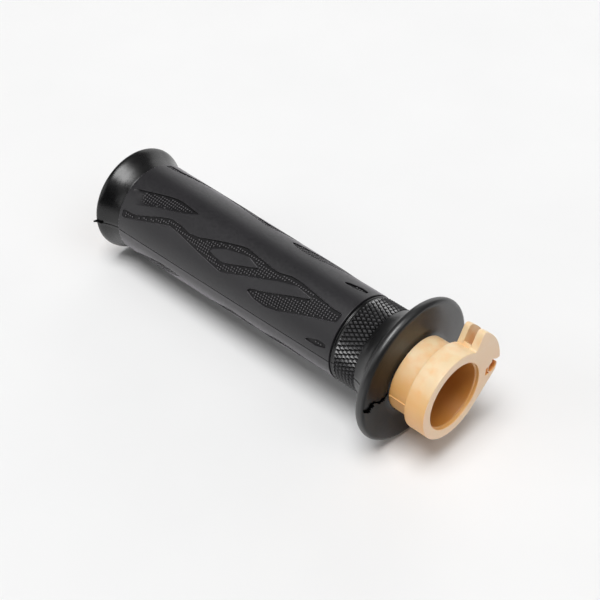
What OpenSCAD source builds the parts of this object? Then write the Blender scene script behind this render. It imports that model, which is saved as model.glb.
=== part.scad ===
// Throttle grip for a motorcycle handlebar: a hard tube with a cable drum on its end,
// a rubber core with a flange and a flared end, and a soft sleeve with a cut tread.
// Frame: X runs along the bore towards the drum, Z is up, and the origin is on the bore axis
// in the plane of the flange's face. Angles are measured about X, from +Y towards +Z.

/* [Handlebar fit] */

// Diameter of the handlebar the tube turns on
bar_d = 22.2; // [22:0.1:25.4]
// Radial running gap between the handlebar and the tube
bore_gap = 0.1; // [0.05:0.05:0.2]
// Radius of the wider mouth at the drum end
mouth_r = 11.6; // [11.4:0.1:12.4]
// Depth of the wider mouth
mouth_len = 1; // [0.5:0.1:4]

/* [Tube] */

// Outer radius of the tube under the rubber and at the neck
tube_r = 13.1; // [12.6:0.1:14]
// Distance from the flange's face to the outboard end of the tube
tube_out = 130.7; // [100:0.1:140]
// How far the lower half of the neck is set back at the mould's parting line
neck_step = 0.22; // [0:0.01:0.5]
// Width of each key that stops the rubber turning on the tube
key_w = 3; // [1:0.5:5]
// Height of each key above the tube
key_h = 0.7; // [0.3:0.1:1]
// Length of each key
key_len = 96; // [40:1:110]
// Number of keys
key_n = 4; // [2:1:8]

/* [Cable drum] */

// Distance from the flange's face to the drum's end face
drum_end = 15.6; // [12:0.1:25]
// Length of the collar behind the end face
collar_len = 7.5; // [5:0.1:12]
// Radius of the collar
collar_r = 15; // [14:0.1:18]
// Radius of the cable sector's rim
rim_r = 22; // [18:0.1:26]
// Angle of the sector's upper end face
sector_hi = 60.5; // [30:0.5:90]
// Distance of the sector's upper end face from the axis
sector_off = 1.5; // [0:0.1:3]
// Angle at which the sector's lower edge leaves the collar
sector_lo = -48; // [-80:1:0]
// Thickness of the sector's outer plate
plate_w = 2.5; // [1:0.1:4]
// Width of the cable groove
groove_w = 3; // [1.5:0.1:4]
// Radius of the bottom of the cable groove
groove_r = 16.2; // [15.5:0.1:20]
// Radius of the socket for the cable's end fitting
socket_r = 1.9; // [1.5:0.1:3]
// Distance of the socket from the bore axis, along Y
socket_y = 18.2; // [16:0.1:22]
// Height of the socket above the bore axis
socket_z = 0.25; // [-2:0.05:4]
// Depth of the socket from the end face
socket_len = 5.9; // [4:0.1:7]
// Distance from the axis to the flat side of the lip below the socket's slit
lip_y = 20.3; // [20:0.1:22]

/* [Rubber core] */

// Radius of the flange
flange_r = 25; // [20:0.1:32]
// Thickness of the flange's round rim
flange_t = 3.4; // [1.5:0.1:4]
// Radius of the seat that the sleeve sits on
seat_r = 14.3; // [13.9:0.1:15]
// Radius at the tips of the knurl
knurl_tip_r = 15.35; // [15:0.05:16]
// Radius at the roots of the knurl
knurl_root_r = 14.7; // [14.3:0.05:15]
// Number of knurl points round the band, counting each row once
knurl_n = 61; // [30:1:90]
// Half rows of knurl points along the band
knurl_rows = 6; // [3:1:10]
// Radius of the rim of the flared end
flare_r = 19.25; // [17:0.05:22]
// Distance from the flange's face to the outboard end of the rubber
grip_out = 131.7; // [100:0.1:140]

/* [Sleeve] */

// Inboard end of the sleeve, measured outboard from the flange's face
sleeve_in = 22.5; // [15:0.1:30]
// Outboard end of the sleeve, measured the same way
sleeve_out = 121.9; // [90:0.1:130]
// Outer radius of the sleeve at its inboard end
sleeve_r_in = 15.3; // [14.8:0.05:17]
// Outer radius of the sleeve at the middle
sleeve_r_mid = 16.18; // [15:0.02:18]
// Outer radius of the sleeve at its outboard end
sleeve_r_out = 16.8; // [15:0.05:18]
// Depth of the tread
tread_d = 0.5; // [0.2:0.05:1]
// Number of times the tread repeats round the sleeve
tread_n = 4; // [1:1:4]

/* [Hidden] */

$fn = 180;
bore_r = bar_d / 2 + bore_gap;
collar_x = drum_end - collar_len;
groove_x = drum_end - plate_w - groove_w;
groove_lo = 6;
// longer than anything the cutting outlines have to reach across
far = 40;
// radius of the drum's front edge
edge = 0.6;
// gap between the sleeve and the core's band
slit = 0.55;
// slit that the cable passes through on its way from the socket into the groove
cable_slit = [[18, 1], [24, 0.3], [24, 1.6], [20.1, 2.1], [18, 3.4]];
// shallow relief beside the socket: its corner, its size and the wall between the two
relief_at = [15.05, -1.6];
relief_size = [2.3, 2.8];
relief_d = 0.7;
relief_wall = 0.35;
// rise of the flat side of the lip below the slit
lip_z0 = -9.5;
lip_z1 = 1;
band_x0 = -sleeve_in + slit;
knurl_x0 = -20.6;
knurl_x1 = -11.9;
band_r = 14.95;
quarter = 9;
step = 10;

// a quarter of a round edge between two axis-parallel directions, centre (r, x)
function arc(r, x, rad, a0, a1, n = quarter) =
    [for (i = [0:n]) let (a = a0 + (a1 - a0) * i / n) [r + rad * cos(a), x + rad * sin(a)]];

// radius of the sleeve's skin at x: a parabola through its two ends and its middle
function skin(x) =
    let (u = (x + (sleeve_in + sleeve_out) / 2) * 2 / (sleeve_out - sleeve_in))
    sleeve_r_mid + (sleeve_r_in - sleeve_r_out) / 2 * u
    + ((sleeve_r_in + sleeve_r_out) / 2 - sleeve_r_mid) * u * u;

// a profile of (radius, x) points turned about X
module turned(pts) rotate([0, 90, 0]) rotate_extrude() polygon(pts);

module rod(r, x0, x1) translate([x0, 0, 0]) rotate([0, 90, 0]) cylinder(h = x1 - x0, r = r);

// an outline drawn in Y and Z, given a thickness along X
module plate(x0, x1, pts) translate([x0, 0, 0]) rotate([90, 0, 90]) linear_extrude(x1 - x0) polygon(pts);

// a tread outline swept straight out from the axis
module radial(pts, r0 = 11, r1 = 21) {
    n = len(pts);
    polyhedron(
        points = [for (r = [r0, r1]) for (p = pts) [p[0] - sleeve_in, r * cos(p[1]), r * sin(p[1])]],
        faces = concat(
            [[for (i = [n - 1:-1:0]) i], [for (i = [0:n - 1]) n + i]],
            [for (i = [0:n - 1]) let (j = (i + 1) % n) each [[i, j, n + j], [i, n + j, n + i]]]));
}

module keys(grow = 0)
    for (i = [0:key_n - 1]) rotate([45 + i * 360 / key_n, 0, 0])
        translate([-sleeve_out + 8, -key_w / 2, tube_r - 0.8])
            cube([key_len, key_w, key_h + 0.8]);

/* the hard tube */

module sector_solid() {
    tx = collar_r * cos(sector_lo);
    ty = collar_r * sin(sector_lo);
    end_side = sector_off * [sin(sector_hi), -cos(sector_hi)];
    intersection() {
        rod(rim_r, collar_x, drum_end);
        plate(collar_x - 1, drum_end + 1, [
            end_side, [tx, ty], [tx - far * sin(sector_lo), ty + far * cos(sector_lo)],
            [far, far], end_side + [far * cos(sector_hi), far * sin(sector_hi)]]);
    }
}

module groove_cut() {
    difference() {
        plate(groove_x, groove_x + groove_w, [
            [0, 0], [far * cos(groove_lo), far * sin(groove_lo)], [far, far],
            [far * cos(sector_hi + 6), far * sin(sector_hi + 6)]]);
        rod(groove_r, groove_x - 1, groove_x + groove_w + 1);
    }
}

module socket_cut() {
    translate([drum_end - socket_len, socket_y, socket_z]) rotate([0, 90, 0])
        cylinder(h = socket_len + 1, r = socket_r);
    plate(groove_x, drum_end + 1, cable_slit);
    translate([collar_x - 1, lip_y, lip_z0]) cube([drum_end, rim_r - lip_y + 6, lip_z1 - lip_z0]);
    difference() {
        translate([drum_end - relief_d, relief_at[0], relief_at[1]])
            cube([relief_d + 1, relief_size[0], relief_size[1]]);
        translate([0, socket_y, socket_z]) rotate([0, 90, 0])
            cylinder(h = drum_end + 1, r = socket_r + relief_wall);
    }
}

module throttle_tube() color([0.87, 0.72, 0.52]) {
    difference() {
        union() {
            turned(concat(
                [[bore_r, -tube_out + 0.4], [bore_r + 0.4, -tube_out], [tube_r - 0.5, -tube_out],
                 [tube_r, -tube_out + 0.5], [tube_r, collar_x], [collar_r - 0.25, collar_x],
                 [collar_r, collar_x + 0.25]],
                arc(collar_r - edge, drum_end - edge, edge, 0, 90),
                [[mouth_r + 0.5, drum_end], [mouth_r, drum_end - 0.6], [mouth_r, drum_end - mouth_len],
                 [bore_r, drum_end - mouth_len - 0.4]]));
            keys();
            difference() {
                sector_solid();
                groove_cut();
                rod(tube_r + 0.9, collar_x - 1, drum_end + 1);
                socket_cut();
            }
        }
        // lower half of the neck, set back at the parting line
        difference() {
            translate([-0.4, -20, -20]) cube([collar_x + 0.4, 40, 20]);
            rod(tube_r - neck_step, -1, collar_x + 1);
        }
    }
}

/* the rubber core */

module knurl_ring() {
    cols = knurl_rows + 1;
    turns = 2 * knurl_n;
    pitch = (knurl_x1 - knurl_x0) / knurl_rows;
    inner = seat_r - 0.7;
    function lift(i, j) = (i == 0 || i == cols + 1) ? knurl_root_r - 0.1
        : ((i + j) % 2 == 0 ? knurl_tip_r : knurl_root_r);
    function at(i) = i == 0 ? knurl_x0 - 0.3 : i == cols + 1 ? knurl_x1 + 0.3
        : knurl_x0 + 0.15 + (i - 1) * (pitch - 0.3 / knurl_rows);
    rings = cols + 2;
    polyhedron(
        points = concat(
            [for (i = [0:rings - 1]) for (j = [0:turns - 1])
                let (a = 360 * j / turns, r = lift(i, j)) [at(i), r * cos(a), r * sin(a)]],
            [for (i = [0, rings - 1]) for (j = [0:turns - 1])
                let (a = 360 * j / turns) [at(i), inner * cos(a), inner * sin(a)]]),
        faces = concat(
            [for (i = [0:rings - 2]) for (j = [0:turns - 1])
                let (k = (j + 1) % turns, a = i * turns + j, b = i * turns + k,
                     c = (i + 1) * turns + k, d = (i + 1) * turns + j)
                each ((i + j) % 2 == 0 ? [[a, d, b], [b, d, c]] : [[a, c, b], [a, d, c]])],
            [for (j = [0:turns - 1])
                let (k = (j + 1) % turns, o = (rings - 1) * turns, p = rings * turns, q = p + turns)
                each [[j, k, p + k], [j, p + k, p + j], [o + j, q + k, o + k], [o + j, q + j, q + k],
                      [p + j, p + k, q + k], [p + j, q + k, q + j]]]));
}

module grip_core() color([0.10, 0.10, 0.11]) {
    rim = flange_t / 2;
    difference() {
        union() {
            turned(concat(
                [[tube_r, -grip_out + 1.4], [tube_r + 0.9, -grip_out + 1.4], [tube_r + 2.1, -grip_out + 0.2],
                 [tube_r + 2.5, -grip_out]],
                arc(flare_r - 1.4, -grip_out + 1.4, 1.4, -90, 20),
                [[flare_r - 0.45, -grip_out + 2.7], [flare_r - 1.3, -grip_out + 4.4],
                 [flare_r - 2.05, -grip_out + 6.2], [flare_r - 2.6, -grip_out + 8.2],
                 [flare_r - 2.85, -sleeve_out - 0.4], [flare_r - 3.0, -sleeve_out]],
                [[seat_r, -sleeve_out], [seat_r, band_x0], [band_r + 0.1, band_x0],
                 [band_r + 0.1, band_x0 + 0.3], [band_r - 0.1, band_x0 + 0.5], [band_r - 0.05, knurl_x0],
                 [knurl_root_r - 0.5, knurl_x0], [knurl_root_r - 0.5, knurl_x1], [15.25, knurl_x1],
                 [15.5, -10.4], [16.0, -8.9], [16.9, -7.3], [18.4, -5.9], [20.5, -4.8], [22.6, -3.9]],
                arc(flange_r - rim, -rim, rim, -80, 90),
                [[tube_r + 1.7, 0], [tube_r + 0.6, 0.3], [tube_r + 0.25, 0.8], [tube_r, 0.8]]));
            knurl_ring();
        }
        keys();
    }
}

/* the soft sleeve */

// one repeat of the tread: outlines of (distance from the sleeve's inboard end, angle)
leaf = [[-97.5, 122.4], [-91.8, 117.2], [-87.8, 113], [-83.8, 109], [-80.4, 106.2], [-77.7, 105.6],
    [-73.9, 106.4], [-68.9, 108.2], [-73.9, 117], [-80.4, 124], [-86, 129.6], [-97.5, 143]];
wave = [[-98, 151], [-92.5, 150.3], [-86.2, 142.2], [-79.9, 133.5], [-76.5, 130.1], [-72.8, 130.4],
    [-67.8, 133.9], [-63.1, 131.4], [-55.4, 122.1], [-47.5, 113.6], [-44.8, 111.4], [-37, 114.5],
    [-29.7, 116.8], [-24.4, 111.9], [-20, 112], [-10.7, 116.1], [-6, 118.6], [-1.9, 118],
    [-1.9, 130.4], [-4.9, 134], [-12.8, 143.4], [-23.4, 156.8], [-29.2, 161], [-33.8, 160],
    [-37.1, 155], [-36.2, 151], [-29.8, 144.1], [-22.1, 133.9], [-14.6, 124.3], [-14.6, 121.8],
    [-21.3, 118.9], [-27.9, 125.5], [-35.9, 136.5], [-45.9, 149.5], [-50.1, 153.5], [-59.3, 148.3],
    [-70.9, 140.7], [-76.5, 138.5], [-83.6, 147], [-89.4, 153], [-98, 161.5]];
island = [[-36.8, 125.2], [-39.6, 129.2], [-46.4, 137.8], [-50.6, 142.3], [-53.9, 141], [-56.9, 138.5],
    [-56.4, 134], [-51.9, 126.5], [-45.9, 121.8], [-42.2, 119.9]];
mark = [[-10.5, 169.3], [-9.4, 165.3], [-4.9, 159.5], [-2.1, 160.5], [-1.9, 164.5], [-6.3, 169.2]];

module skin_turned(drop, over) {
    a = -sleeve_out - over;
    b = -sleeve_in + over;
    turned(concat([[seat_r - (over > 0 ? 5 : 0), b], [seat_r - (over > 0 ? 5 : 0), a]],
        [for (i = [0:step]) let (x = a + (b - a) * i / step) [skin(x) - drop, x]]));
}

module grip_sleeve() color([0.20, 0.20, 0.21]) {
    difference() {
        skin_turned(0, 0);
        for (i = [0:tread_n - 1]) rotate([i * 360 / tread_n, 0, 0]) difference() {
            union() {
                radial(leaf);
                difference() {
                    radial(wave);
                    radial(island, 10, 22);
                }
                radial(mark);
            }
            skin_turned(tread_d, 1);
        }
    }
}

throttle_tube();
grip_core();
grip_sleeve();
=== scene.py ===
import math

import bmesh
import bpy
import numpy as np
from mathutils import Matrix, Vector
from mathutils.geometry import delaunay_2d_cdt


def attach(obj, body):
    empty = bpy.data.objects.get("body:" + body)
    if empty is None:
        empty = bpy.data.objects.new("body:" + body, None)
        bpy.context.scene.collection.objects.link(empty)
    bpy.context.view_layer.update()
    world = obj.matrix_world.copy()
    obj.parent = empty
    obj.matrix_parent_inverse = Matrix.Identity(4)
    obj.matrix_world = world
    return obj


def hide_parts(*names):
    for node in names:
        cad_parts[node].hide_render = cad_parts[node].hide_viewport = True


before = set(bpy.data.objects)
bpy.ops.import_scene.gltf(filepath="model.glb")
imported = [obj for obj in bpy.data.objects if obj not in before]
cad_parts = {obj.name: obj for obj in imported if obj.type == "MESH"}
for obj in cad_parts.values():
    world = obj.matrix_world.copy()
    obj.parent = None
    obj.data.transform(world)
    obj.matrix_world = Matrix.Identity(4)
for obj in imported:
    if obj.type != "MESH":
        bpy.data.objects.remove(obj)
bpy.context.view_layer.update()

MM = 0.001

# ---- sizes, the same as the CAD source's ----
BORE_R = 11.2
MOUTH_R = 11.6
MOUTH_LEN = 1.0
TUBE_R = 13.1
TUBE_OUT = 130.7
NECK_STEP = 0.22
DRUM_END = 15.6
COLLAR_X = 8.1
COLLAR_R = 15.0
RIM_R = 22.0
SECTOR_HI = 60.5
SECTOR_OFF = 1.5
SECTOR_LO = -48.0
PLATE_W = 2.5
GROOVE_W = 3.0
GROOVE_R = 16.2
SOCKET = (18.2, 0.25)    # its centre in (y, z)
SOCKET_R = 1.9
SOCKET_LEN = 5.9
SLIT_LO = 1.05           # height of the slit's lower side at the lip
SLIT_HI = 1.9            # height of its upper side at the rim
SLIT_TOP = [(18.0, 3.4), (20.1, 2.1)]
LIP_Y = 20.3
RELIEF = (15.05, -1.6, 1.2)         # left side, bottom and top of the pocket beside the socket
RELIEF_DEPTH = 0.7
WALL = 0.35              # thickness of the wall between the socket and the pocket
FLANGE_R = 25.0
FLANGE_T = 3.4
SEAT_R = 14.3
BAND_R = 14.95
KNURL_TIP = 15.35
KNURL_ROOT = 14.7
KNURL_N = 61
KNURL_X0 = -20.6
KNURL_X1 = -11.9
FLARE_R = 19.25
GRIP_OUT = 131.7
SLEEVE_IN = 22.5
SLEEVE_OUT = 121.9
SLIT_W = 0.55
SKIN_IN = 15.3
SKIN_MID = 16.18
SKIN_OUT = 16.8
TREAD_D = 0.5
TREAD_N = 4

# one repeat of the tread: outlines of (x from the sleeve's inboard end, angle)
LEAF = [[-97.5, 122.4], [-91.8, 117.2], [-87.8, 113], [-83.8, 109], [-80.4, 106.2], [-77.7, 105.6],
        [-73.9, 106.4], [-68.9, 108.2], [-73.9, 117], [-80.4, 124], [-86, 129.6], [-97.5, 143]]
WAVE = [[-98, 151], [-92.5, 150.3], [-86.2, 142.2], [-79.9, 133.5], [-76.5, 130.1], [-72.8, 130.4],
        [-67.8, 133.9], [-63.1, 131.4], [-55.4, 122.1], [-47.5, 113.6], [-44.8, 111.4], [-37, 114.5],
        [-29.7, 116.8], [-24.4, 111.9], [-20, 112], [-10.7, 116.1], [-6, 118.6], [-1.9, 118],
        [-1.9, 130.4], [-4.9, 134], [-12.8, 143.4], [-23.4, 156.8], [-29.2, 161], [-33.8, 160],
        [-37.1, 155], [-36.2, 151], [-29.8, 144.1], [-22.1, 133.9], [-14.6, 124.3], [-14.6, 121.8],
        [-21.3, 118.9], [-27.9, 125.5], [-35.9, 136.5], [-45.9, 149.5], [-50.1, 153.5],
        [-59.3, 148.3], [-70.9, 140.7], [-76.5, 138.5], [-83.6, 147], [-89.4, 153], [-98, 161.5]]
ISLAND = [[-36.8, 125.2], [-39.6, 129.2], [-46.4, 137.8], [-50.6, 142.3], [-53.9, 141],
          [-56.9, 138.5], [-56.4, 134], [-51.9, 126.5], [-45.9, 121.8], [-42.2, 119.9]]
MARK = [[-10.5, 169.3], [-9.4, 165.3], [-4.9, 159.5], [-2.1, 160.5], [-1.9, 164.5], [-6.3, 169.2]]

# ---- surface detail that only the visual model has ----
WELD = 0.004             # points closer than this are joined
RIM_MARGIN = 0.04        # keeps the many-sided flange inside the CAD model's box
NECK_LIP = 0.28          # how far the tube's parting line stands out on the neck
FACE_GAP = 0.34          # width of the gap between the rubber and the neck at the flange's face
END_LIP = 0.35           # how far the sleeve's two ends are rounded
EDGE_ROLL = 0.3          # how far the edges of the drum's end face are rounded
BACK_ROLL = 0.25         # how far the edges of the sector's back are rounded

UNROLL_R = 16.2          # radius at which an angle on the sleeve is turned into a length
DOT_PITCH_X = 1.05
DOT_PITCH_S = 0.95       # round the sleeve
DOT_BASE = 0.375         # radius of a dot's foot
DOT_TOP = 0.23
DOT_H = 0.34
DOT_CLEAR = 0.56         # distance from a dot's centre to the nearest outline
DOT_SHARE = 0.62         # dots stand only where the tread has more than this share of its depth
GAP_SHADE = 0.62         # painted shade between the dots
DOT_SHADE = -1.15        # painted highlight on their tops

# the parting line's height, and the painted shade in its crease and painted highlight on the swelling
# beside it, at lengths round the surface from it
SEAM_R = 16.0            # radius that the spacing of the points beside it is worked out for
SEAM = [(-0.14, 0.0), (0.0, -0.10), (0.14, 0.04), (0.35, 0.07), (0.8, 0.04), (1.4, 0.0)]
SEAM_SHADE = [(-0.14, 0.0), (0.0, 1.0), (0.14, 0.2), (0.35, -0.25), (0.8, -0.25), (1.4, 0.0)]

# the tread's edge, step by step: distance into the recesses, height, and the painted shade on the
# shaded side, on the lit side and, added to that, a painted highlight on the lit side's lip where it
# faces one way
EDGE_STEPS = [(-0.36, 0.0, 0.0, 0.0, 0.0), (-0.18, 0.0, 0.0, 0.0, 0.0), (-0.06, -0.04, 0.1, 0.0, -1.3),
              (0.02, -0.46, 1.0, 0.45, 0.0), (0.14, -0.50, 0.60, 0.45, 0.0)]
SHADED_FOOT = 0.14       # how much wider the last step is on the shaded side

# torn flash on the flange's face: a path of (y, z), half its width, and its height
FLANGE_FLASH = [
    ([(-23.6, 0.5), (-22.8, -0.9), (-21.3, -0.1), (-20.6, 0.7), (-19.7, 0.95), (-18.3, 0.1),
      (-17.3, -1.0), (-15.9, -1.15), (-14.6, -0.6), (-13.7, 0.5), (-13.5, 1.6)], 0.30, 0.5),
    ([(-24.0, 0.6), (-22.9, -0.8), (-21.6, -0.3), (-20.6, 0.6), (-19.6, 0.9)], 0.60, 0.8),
    ([(-14.3, -0.5), (-13.6, 0.7), (-13.4, 2.2), (-13.3, 3.6)], 0.45, 0.45)]


# ---- outlines and profiles ----

def circle_part(centre, radius, a0, a1, step=2.0):
    """Points on a circle from angle a0 to a1, in degrees."""
    n = max(2, int(abs(a1 - a0) / step) + 1)
    a = np.radians(np.linspace(a0, a1, n))
    return np.column_stack([centre[0] + radius * np.cos(a), centre[1] + radius * np.sin(a)])


def bend(before, corner, after, n):
    """A smooth curve that leaves the line before-corner and joins the line corner-after."""
    t = np.linspace(0, 1, n + 1)[:, None]
    return (1 - t) ** 2 * before + 2 * t * (1 - t) * corner + t ** 2 * after


def rounded(corners, closed=True, n=5):
    """Points of a polygon whose corners (a, b, reach) are bent over a length of reach."""
    pts = [np.array(c[:2], float) for c in corners]
    out = []
    for i, c in enumerate(corners):
        reach = c[2] if len(c) > 2 else 0
        if reach == 0 or (not closed and i in (0, len(corners) - 1)):
            out.append(pts[i][None])
            continue
        p, q, r = pts[i - 1], pts[i], pts[(i + 1) % len(pts)]
        near = min(reach, 0.48 * np.linalg.norm(q - p), 0.48 * np.linalg.norm(r - q))
        before = q + (p - q) / np.linalg.norm(p - q) * near
        after = q + (r - q) / np.linalg.norm(r - q) * near
        out.append(bend(before, q, after, n))
    return np.concatenate(out)


def resampled(path, step, closed=True):
    """The same line with points no further than step apart."""
    out = []
    count = len(path) if closed else len(path) - 1
    for i in range(count):
        a, b = path[i], path[(i + 1) % len(path)]
        n = max(1, int(math.ceil(np.linalg.norm(b - a) / step)))
        out.extend(a + (b - a) * k / n for k in range(n))
    if not closed:
        out.append(path[-1])
    return np.array(out)


def moved_in(loop, distance):
    """A closed loop moved to its left by distance, measured square to the line."""
    before = loop - np.roll(loop, 1, axis=0)
    after = np.roll(loop, -1, axis=0) - loop
    before /= np.linalg.norm(before, axis=1)[:, None]
    after /= np.linalg.norm(after, axis=1)[:, None]
    left = np.column_stack([-before[:, 1] - after[:, 1], before[:, 0] + after[:, 0]])
    left /= np.linalg.norm(left, axis=1)[:, None]
    cosine = np.abs(left[:, 0] * -before[:, 1] + left[:, 1] * before[:, 0])
    return loop + left * (distance / np.maximum(cosine, 0.5))[:, None]


def turns_left(loop):
    """Whether a closed loop runs anticlockwise."""
    x, y = loop[:, 0], loop[:, 1]
    return np.sum(x * np.roll(y, -1) - y * np.roll(x, -1)) > 0


def inside(points, loop):
    """Whether each point is inside a closed loop."""
    a, b = loop, np.roll(loop, -1, axis=0)
    px, py = points[:, 0][:, None], points[:, 1][:, None]
    crosses = (a[:, 1] > py) != (b[:, 1] > py)
    slope = (b[:, 0] - a[:, 0]) / np.where(b[:, 1] == a[:, 1], 1e-12, b[:, 1] - a[:, 1])
    return np.sum(crosses & (px < a[:, 0] + slope * (py - a[:, 1])), axis=1) % 2 == 1


def distance_to(points, loop, closed=True):
    """Each point's distance from a line, which is a closed loop unless told otherwise."""
    best = np.full(len(points), 1e9)
    ends = np.roll(loop, -1, axis=0) if closed else loop[1:]
    for a, b in zip(loop, ends):
        d = b - a
        t = np.clip((points - a) @ d / (d @ d), 0, 1)[:, None]
        best = np.minimum(best, np.linalg.norm(points - a - t * d, axis=1))
    return best


def polar(r, a):
    """The point at a radius and an angle, in (y, z)."""
    return [r * math.cos(math.radians(a)), r * math.sin(math.radians(a))]


# ---- mesh making ----

def bands(rings, n, closed=False):
    """Four-sided faces between rings of n points, which are numbered one ring after another."""
    faces = []
    for i in range(rings if closed else rings - 1):
        j = (i + 1) % rings
        for k in range(n):
            m = (k + 1) % n
            faces.append((i * n + k, i * n + m, j * n + m, j * n + k))
    return faces


def closed_links(start, n):
    """The pairs that link n points, numbered from start, into a closed loop."""
    return [(start + i, start + (i + 1) % n) for i in range(n)]


def triangulated(points, links, tolerance):
    """A flat mesh that keeps the links: its points, its faces and the points each one came from."""
    flat, _, faces, source, _, _ = delaunay_2d_cdt(
        [Vector(p) for p in points], links, [], 0, tolerance)
    return np.array([tuple(p) for p in flat]), faces, source


class Shape:
    """Points in millimetres and faces, gathered from several parts.

    Each point also has a shade, which the materials paint into their colour: 1 is painted shade
    as dark as the bottom of the recesses, 0 is the open surface and -1 is a painted highlight on a lit
    tip.
    """

    def __init__(self):
        self.points = []
        self.shades = []
        self.faces = []
        self.count = 0

    def add(self, points, faces, shade=0.0):
        self.points.append(np.asarray(points, float).reshape(-1, 3))
        self.shades.append(np.broadcast_to(shade, len(self.points[-1])))
        self.faces.extend([tuple(int(i) + self.count for i in f) for f in faces])
        self.count += len(self.points[-1])

    def piece(self, name, material, slot, node, sharp):
        """Makes the Blender piece that stands for a CAD node."""
        mesh = bpy.data.meshes.new(name)
        mesh.from_pydata((np.concatenate(self.points) * MM).tolist(), [], self.faces)
        shade = mesh.attributes.new("shade", "FLOAT", "POINT")
        shade.data.foreach_set("value", np.concatenate(self.shades).astype(np.float32))
        obj = bpy.data.objects.new(name, mesh)
        bpy.context.scene.collection.objects.link(obj)
        clean(mesh, sharp)
        mesh.materials.append(material)
        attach(obj, "root")
        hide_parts(node)


def clean(mesh, sharp):
    """Joins points that meet, turns the faces outwards and marks the sharp edges."""
    bm = bmesh.new()
    bm.from_mesh(mesh)
    bmesh.ops.remove_doubles(bm, verts=bm.verts, dist=WELD * MM)
    bmesh.ops.recalc_face_normals(bm, faces=bm.faces)
    limit = math.radians(sharp)
    for edge in bm.edges:
        edge.smooth = len(edge.link_faces) == 2 and edge.calc_face_angle(0) < limit
    for face in bm.faces:
        face.smooth = True
    bm.to_mesh(mesh)
    bm.free()


def turned(shape, profile, angles, closed=False, radius_change=None, shade=None):
    """Turns a profile of (x, radius) about the bore's axis through these angles."""
    n = len(angles)
    x = np.repeat(profile[:, 0], n)
    r = np.repeat(profile[:, 1], n)
    t = np.tile(np.radians(angles), len(profile))
    if radius_change is not None:
        r = r + radius_change(x, r, np.degrees(t))
    dark = shade(x, r, np.degrees(t)) if shade else 0.0
    points = np.column_stack([x, r * np.cos(t), r * np.sin(t)])
    shape.add(points, bands(len(profile), n, closed), dark)


def below_parting(r, angle):
    """Length round the surface from the nearest parting line.

    The lines are at 0 and 180 degrees. The length is negative only above the one at 180.
    """
    from_line = (angle + 90) % 180 - 90
    return np.radians(np.where(angle % 360 > 270, -from_line, from_line)) * r


def parting(r, angle):
    """Height of the mould's parting line at an angle: a fine crease with a low swelling beside it."""
    return np.interp(below_parting(r, angle), *np.transpose(SEAM))


def parting_shade(r, angle):
    """Painted shade in the parting line's crease, and a painted highlight on the low swelling beside
    it.
    """
    return np.interp(below_parting(r, angle), *np.transpose(SEAM_SHADE))


def ridge_angles(n):
    """Even steps round the axis, with closer ones at the two parting lines."""
    even = np.arange(n) * 360.0 / n
    close = np.degrees(np.array([reach for reach, _ in SEAM]) / SEAM_R)
    for side in (-1, 1):
        from_line = (even[:, None] + 90) % 180 - 90
        even = even[np.min(np.abs(from_line + side * close[None]), axis=1) > 0.3]
    return np.unique(np.round(np.concatenate([even, 180 + close, (360 - close) % 360]), 6))


def skin(x):
    """Radius of the sleeve's skin at x: a parabola through its ends and its middle."""
    u = (x + (SLEEVE_IN + SLEEVE_OUT) / 2) * 2 / (SLEEVE_OUT - SLEEVE_IN)
    return (SKIN_MID + (SKIN_IN - SKIN_OUT) / 2 * u
            + ((SKIN_IN + SKIN_OUT) / 2 - SKIN_MID) * u * u)


# ---- the sleeve ----

# the stretch of the unrolled sleeve that is made once and then repeated round the axis
QUARTER = (math.radians(90) * UNROLL_R, math.radians(180) * UNROLL_R)
SKIN_ENDS = (-SLEEVE_OUT + END_LIP, -SLEEVE_IN - END_LIP)


class Sheet:
    """Points of the unrolled sleeve as (x, length round it), each with a height and a shade."""

    def __init__(self):
        self.points = []
        self.heights = []
        self.shades = []
        self.links = []
        self.count = 0

    def add(self, points, heights, shades):
        self.points.append(points)
        self.heights.append(heights)
        self.shades.append(shades)
        self.count += len(points)

    def add_loops(self, points, heights, shades, n):
        """Adds closed loops of n points each, whose sides stay edges of the mesh."""
        for start in range(0, len(points), n):
            self.links.extend(closed_links(self.count + start, n))
        self.add(points, heights, shades)

    def mesh(self):
        """The triangulated sheet: points, faces, heights and shades."""
        flat, faces, source = triangulated(np.concatenate(self.points), self.links, 1e-5)
        heights, shades = np.concatenate(self.heights), np.concatenate(self.shades)
        height = np.array([heights[s[0]] if s else 0.0 for s in source])
        shade = np.array([shades[s[0]] if s else 0.0 for s in source])
        return flat, faces, height, shade


def unrolled(outline):
    """Points of (x from the sleeve's inboard end, angle) as (x, length round the sleeve)."""
    return np.array([(x - SLEEVE_IN, math.radians(a) * UNROLL_R) for x, a in outline])


def tread_outline(outline, reach):
    """An outline of the tread with its corners bent, anticlockwise and finely divided."""
    loop = resampled(rounded([(x, s, reach) for x, s in unrolled(outline)]), 0.6)
    return loop if turns_left(loop) else loop[::-1]


def depth_share(points, kind):
    """How much of the tread's depth a point has: the recesses run out towards the flared end."""
    along = points[:, 0] + SLEEVE_IN
    if kind != "leaf":
        start, length = 99.3, 3.0
        return np.clip((along + start) / length, 0, 1)
    # the leaf fades along a slanted line, but stays deep close under its upper side
    start, length, slope = 97.0, 4.5, 0.6
    slant = points[:, 1] - math.radians(121) * UNROLL_R
    fade = np.clip((along + start - slope * slant) / length, 0, 1)
    tip_start, tip_length, roof_width = 98.0, 2.5, 1.3
    left_end = np.clip((along + tip_start) / tip_length, 0, 1)
    under_roof = 1 - distance_to(points, unrolled(LEAF[:6]), closed=False) / roof_width
    # its lower side is a ramp
    ramp_width, least = 1.6, 0.4
    ramp = np.clip(distance_to(points, unrolled(LEAF[7:]), closed=False) / ramp_width, 0, 1)
    return np.maximum(fade, np.clip(under_roof, 0, 1) * left_end) * (least + (1 - least) * ramp)


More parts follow.
